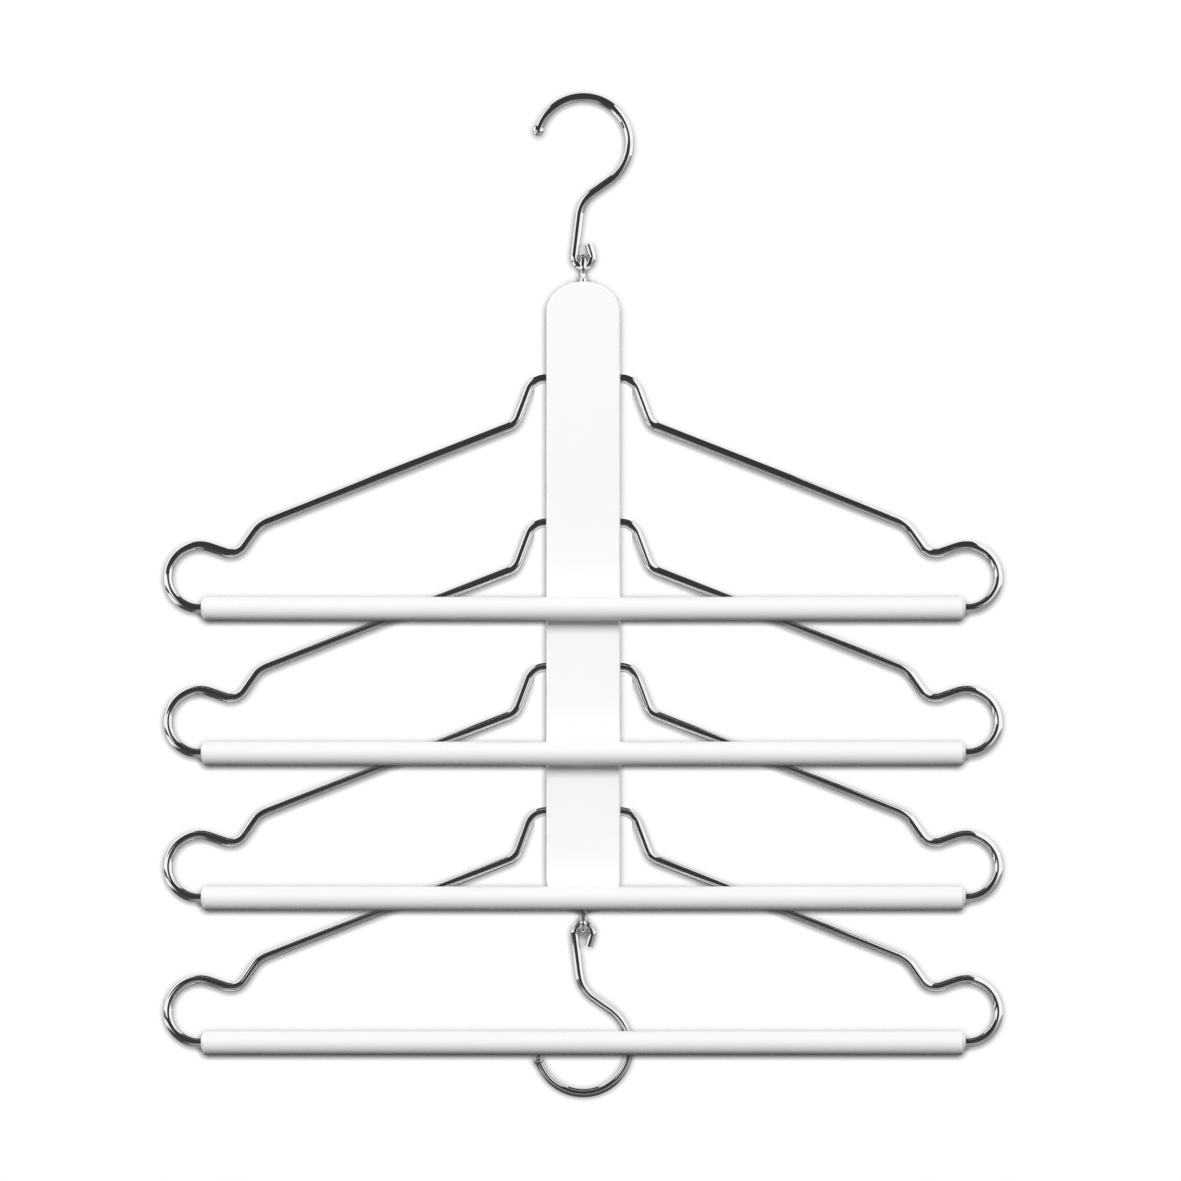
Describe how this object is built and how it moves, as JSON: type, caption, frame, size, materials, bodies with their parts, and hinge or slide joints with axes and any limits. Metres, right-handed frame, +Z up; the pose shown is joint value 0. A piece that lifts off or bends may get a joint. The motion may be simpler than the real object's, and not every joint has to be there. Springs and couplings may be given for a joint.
{
  "type": "multi hanger",
  "caption": "Tiered clothes hanger: chrome wire hangers with white round bars swing in a flat white spine, which hangs from a linked hook and ends in another.",
  "frame": {"origin": "inside top of the upper hook, where a rail carries it", "axes": "+Z up along the hanging direction, -Y out of the front, where the bars are, X along the bars"},
  "size_m": [0.4188, 0.0271, 0.5021],
  "materials": {
    "chrome_wire": "bright chrome plate on bent round wire",
    "white_spine": "smooth white satin lacquer",
    "white_bar": "white satin with a fine grain",
    "zinc_fastener": "zinc plate"
  },
  "bodies": {
    "top_hook": {"top_hook_wire": "chrome_wire", "top_hook_ball": "chrome_wire"},
    "top_eye": {"top_eye_pin": "chrome_wire", "top_eye_washer": "zinc_fastener"},
    "spine": {"spine_front": "white_spine", "spine_back": "white_spine", "spine_screw_1": "zinc_fastener", "spine_screw_2": "zinc_fastener", "spine_screw_3": "zinc_fastener", "spine_screw_4": "zinc_fastener", "spine_screw_5": "zinc_fastener"},
    "hanger_1": {"hanger_1_wire": "chrome_wire", "hanger_1_bar": "white_bar"},
    "hanger_2": {"hanger_2_wire": "chrome_wire", "hanger_2_bar": "white_bar"},
    "hanger_3": {"hanger_3_wire": "chrome_wire", "hanger_3_bar": "white_bar"},
    "hanger_4": {"hanger_4_wire": "chrome_wire", "hanger_4_bar": "white_bar"},
    "bottom_eye": {"bottom_eye_pin": "chrome_wire", "bottom_eye_washer": "zinc_fastener"},
    "bottom_hook": {"bottom_hook_wire": "chrome_wire", "bottom_hook_ball": "chrome_wire"}
  },
  "joints": [
    {"name": "top_hook_tilt", "type": "hinge", "parent": "top_hook", "child": "top_eye", "pos_m": [0, 0, -0.08225], "axis": [1, 0, 0], "range_deg": [-60, 60]},
    {"name": "top_eye_swivel", "type": "hinge", "parent": "top_eye", "child": "spine", "pos_m": [0, 0, -0.09025], "axis": [0, 0, 1], "continuous": true},
    {"name": "hanger_1_swing", "type": "hinge", "parent": "spine", "child": "hanger_1", "pos_m": [0, 0, -0.13865], "axis": [-1, 0, 0], "range_deg": [0, 130]},
    {"name": "hanger_2_swing", "type": "hinge", "parent": "spine", "child": "hanger_2", "pos_m": [0, 0, -0.2108], "axis": [-1, 0, 0], "range_deg": [0, 130]},
    {"name": "hanger_3_swing", "type": "hinge", "parent": "spine", "child": "hanger_3", "pos_m": [0, 0, -0.28295], "axis": [-1, 0, 0], "range_deg": [0, 130]},
    {"name": "hanger_4_swing", "type": "hinge", "parent": "spine", "child": "hanger_4", "pos_m": [0, 0, -0.3551], "axis": [-1, 0, 0], "range_deg": [0, 130]},
    {"name": "bottom_eye_swivel", "type": "hinge", "parent": "spine", "child": "bottom_eye", "pos_m": [0, 0, -0.4035], "axis": [0, 0, 1], "range_deg": [-6, 6]},
    {"name": "bottom_hook_tilt", "type": "hinge", "parent": "bottom_eye", "child": "bottom_hook", "pos_m": [0, 0, -0.4115], "axis": [1, 0, 0], "range_deg": [-2.5, 80]}
  ],
  "couplings": [
    {"joint": "hanger_2_swing", "follows": "hanger_1_swing", "ratio": 1},
    {"joint": "hanger_3_swing", "follows": "hanger_1_swing", "ratio": 1},
    {"joint": "hanger_4_swing", "follows": "hanger_1_swing", "ratio": 1}
  ]
}
